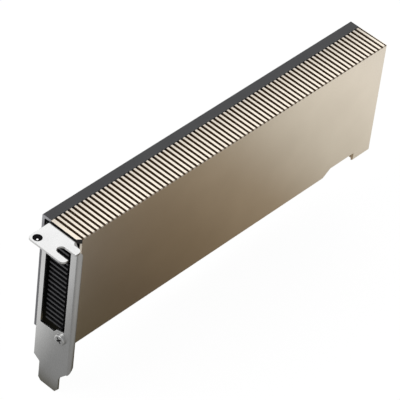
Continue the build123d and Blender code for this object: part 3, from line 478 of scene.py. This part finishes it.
def cross_screw(outline, crown, span, arm, depth):
    """One screw along Z, head up. The cross is span mm over its tips, and its arms are arm mm wide."""
    work = spun(outline, 48)
    top = outline[0][1] * MM
    rim = [e for e in work.edges
           if all(abs(v.co.z - top) < NEAR and v.co.xy.length > NEAR for v in e.verts)]
    bmesh.ops.bevel(work, geom=rim, offset=crown * MM, offset_type="OFFSET", affect="EDGES",
                    segments=5, profile=0.5, material=-1, clamp_overlap=True)
    tip, side = span / 2 * MM, arm / 2 * MM
    for normal in (Vector((1, 0, 0)), Vector((0, 1, 0))):
        for level in (-tip, -side, side, tip):
            flat = [f for f in work.faces if f.calc_center_median().z > top - NEAR]
            part = dict.fromkeys(g for f in flat for g in (f, *f.edges, *f.verts))
            bmesh.ops.bisect_plane(work, geom=list(part), plane_co=normal * level, plane_no=normal)
    pressed = []
    for face in work.faces:
        centre = face.calc_center_median()
        out, aside = sorted((abs(centre.x), abs(centre.y)), reverse=True)
        if centre.z > top - NEAR and out < tip and aside < side:
            pressed.append(face)
    moved = bmesh.ops.extrude_face_region(work, geom=pressed)
    foot = [v for v in moved["geom"] if isinstance(v, bmesh.types.BMVert)]
    bmesh.ops.delete(work, geom=pressed, context="FACES")
    bmesh.ops.scale(work, vec=(0.72, 0.72, 1), verts=foot)
    bmesh.ops.translate(work, vec=(0, 0, -depth * MM), verts=foot)
    bmesh.ops.recalc_face_normals(work, faces=work.faces)
    return work


def turned(axis, degrees, drive):
    """A screw laid over about an axis, with its cross turned by drive degrees."""
    laid = Matrix.Rotation(math.radians(degrees), 4, axis)
    return laid @ Matrix.Rotation(math.radians(drive), 4, "Z")


def set_screws(node, screw, turn, places):
    """Copies one screw to its places and lets them stand for the node."""
    single = bpy.data.meshes.new(node + "_single")
    screw.to_mesh(single)
    screw.free()
    work = bmesh.new()
    for place in places:
        before = set(work.verts)
        work.from_mesh(single)
        fresh = [v for v in work.verts if v not in before]
        bmesh.ops.transform(work, matrix=Matrix.Translation(place) @ turn, verts=fresh)
    bpy.data.meshes.remove(single)
    mesh = written(work, bpy.data.meshes.new(node + "_driven"))
    mesh.materials.append(finishes[slots[node]])
    stand_in(node, mesh)


def solid_boxes(node):
    """Lowest and highest corner and middle of each loose solid of a node."""
    work = bmesh.new()
    work.from_mesh(nodes[node].data)
    bmesh.ops.remove_doubles(work, verts=work.verts, dist=WELD)
    reached, boxes = set(), []
    for first in work.verts:
        if first in reached:
            continue
        reached.add(first)
        waiting, solid = [first], []
        while waiting:
            vert = waiting.pop()
            solid.append(vert.co.copy())
            for edge in vert.link_edges:
                other = edge.other_vert(vert)
                if other not in reached:
                    reached.add(other)
                    waiting.append(other)
        low, high = [Vector([pick(corner[i] for corner in solid) for i in range(3)]) for pick in (min, max)]
        boxes.append((low, high, (low + high) / 2))
    work.free()
    return boxes


# How high the two kinds of pan heads stand on their seats, in mm
FACE_HEAD = 1.05
COVER_HEAD = 1.0

set_screws("bracket_face_screw",
           cross_screw(pan_outline(2.35, FACE_HEAD, 1, 6.5), crown=0.45, span=2.8, arm=0.62, depth=0.7),
           turned("Y", -90, drive=40),
           [(face_low.x + FACE_HEAD * MM, face_middle.y, face_middle.z)])
set_screws("back_plate_screws",
           cross_screw(sunk_outline(1.9, 0.95, 1, 7.2), crown=0.08, span=2.2, arm=0.5, depth=0.6),
           turned("X", -90, drive=25),
           [(middle.x, high.y, middle.z) for low, high, middle in solid_boxes("back_plate_screws")])
set_screws("cover_screws",
           cross_screw(pan_outline(1.8, COVER_HEAD, 1, 2.6), crown=0.3, span=2.2, arm=0.5, depth=0.6),
           turned("X", 180, drive=15),
           [(middle.x, middle.y, low.z + COVER_HEAD * MM)
            for low, high, middle in solid_boxes("cover_screws")])


# Stage. The floor lies just under the bracket's foot. Gloss sees two sheets on it: a tan one along X,
# a grey one along a tilted line, and between them a slanted border, all in mm
FLOOR_Z = -9.8 * MM
FLOOR_HALF = 3.0
TAN_SHEET = (-60, 200)
GREY_SHEET = (-100, 0)
GREY_TILT = 0.4
BORDER_SLOPE = 1.246
BORDER_PLACE = -102
BORDER_BLUR = 8
NEAR_BLUR = 4


def tones_along(tree, distance, start, end, stops):
    """Colours at their shares of the way from start to end, both in mm along a distance."""
    share = add(tree, "MapRange", distance, start * MM, end * MM)
    tones = add(tree, "ValToRGB", share)
    elements = tones.color_ramp.elements
    while len(elements) < len(stops):
        elements.new(0.5)
    for element, (place, colour) in zip(elements, stops):
        element.position = place
        element.color = linear(colour)
    return tones


def studio_floor():
    """A matt white floor that keeps the card's shadow. Gloss sees on it a tan sheet that brightens
    towards the tail, for the cover's face, and left of that a grey one, for the bracket's."""
    made, tree = material("studio_floor")
    place = object_place(tree)
    x, y = place["X"], place["Y"]
    tan = tones_along(tree, x, *TAN_SHEET, [
        (0.0, "#585442"), (0.23, "#695D4D"), (0.385, "#837561"), (0.54, "#A49784"),
        (0.69, "#DCD9D1"), (0.85, "#FDFBF6"), (1.0, "#FFFFFF"),
    ])
    tilted = add(tree, "Math", x, GREY_TILT, y, operation="MULTIPLY_ADD")
    grey = tones_along(tree, tilted, *GREY_SHEET, [
        (0.0, "#BDBCBA"), (0.25, "#A09F9D"), (0.50, "#949392"), (0.68, "#A0A0A0"),
        (0.75, "#9D9D9D"), (0.82, "#CACACA"), (0.87, "#F0F0F0"), (0.92, "#FFFFFF"),
    ])
    # The tan sheet ends at a slanted line, and the cover's face mirrors nothing on its other side
    slant = add(tree, "Math", y, BORDER_SLOPE, x, operation="MULTIPLY_ADD")
    past_border = above(tree, slant, BORDER_PLACE, BORDER_BLUR)
    past_near_end = above(tree, x, TAN_SHEET[0], NEAR_BLUR)
    on_tan = add(tree, "Math", past_near_end, past_border, operation="MULTIPLY")
    sheets = add(tree, "Mix", on_tan, data_type="RGBA", A=grey, B=tan)
    rays = add(tree, "LightPath").outputs
    pale = add(tree, "BsdfDiffuse", Color=linear("#E9E9E9"))
    white = add(tree, "Emission", Color=linear("#FFFFFF"), Strength=1.06)
    mirrored = add(tree, "Emission", Color=sheets, Strength=1)
    whitened = add(tree, "Math", rays["Is Camera Ray"], 0.9, operation="MULTIPLY")
    seen = add(tree, "MixShader", whitened, pale, white)
    glossed = add(tree, "MixShader", rays["Is Glossy Ray"], seen, mirrored)
    add(tree, "OutputMaterial", Surface=glossed)
    return made


sheet = bmesh.new()
bmesh.ops.create_grid(sheet, x_segments=1, y_segments=1, size=FLOOR_HALF,
                      matrix=Matrix.Translation((0, 0, FLOOR_Z)))
floor_mesh = bpy.data.meshes.new("floor")
sheet.to_mesh(floor_mesh)
sheet.free()
floor_mesh.materials.append(studio_floor())
floor = bpy.data.objects.new("floor", floor_mesh)
bpy.context.scene.collection.objects.link(floor)

# The room: a soft even light, and plain white where the camera sees past the floor
world = bpy.data.worlds.new("studio")
world.use_nodes = True
world.node_tree.nodes.clear()
bpy.context.scene.world = world
camera_ray = add(world.node_tree, "LightPath").outputs["Is Camera Ray"]
room = add(world.node_tree, "Background", Color=linear("#F4F5F7"), Strength=0.55)
backdrop = add(world.node_tree, "Background", Color=linear("#FFFFFF"), Strength=1)
around = add(world.node_tree, "MixShader", camera_ray, room, backdrop)
add(world.node_tree, "OutputWorld", Surface=around)


def softbox(name, place, aim, size, power):
    """A rectangular lamp at a place, turned to its aim, in metres and watts."""
    data = bpy.data.lights.new(name, "AREA")
    data.shape = "RECTANGLE"
    data.size, data.size_y = size
    data.energy = power
    lamp = bpy.data.objects.new(name, data)
    lamp.location = place
    lamp.rotation_euler = (Vector(aim) - Vector(place)).to_track_quat("-Z", "Y").to_euler()
    bpy.context.scene.collection.objects.link(lamp)


softbox("overhead_softbox", place=(0.75, 0.60, 0.95), aim=(0.02, 0, 0.03), size=(1.0, 0.8), power=2.8)
softbox("left_softbox", place=(-0.8, 0.35, 0.7), aim=(-0.02, 0, 0.03), size=(0.7, 0.7), power=3.0)
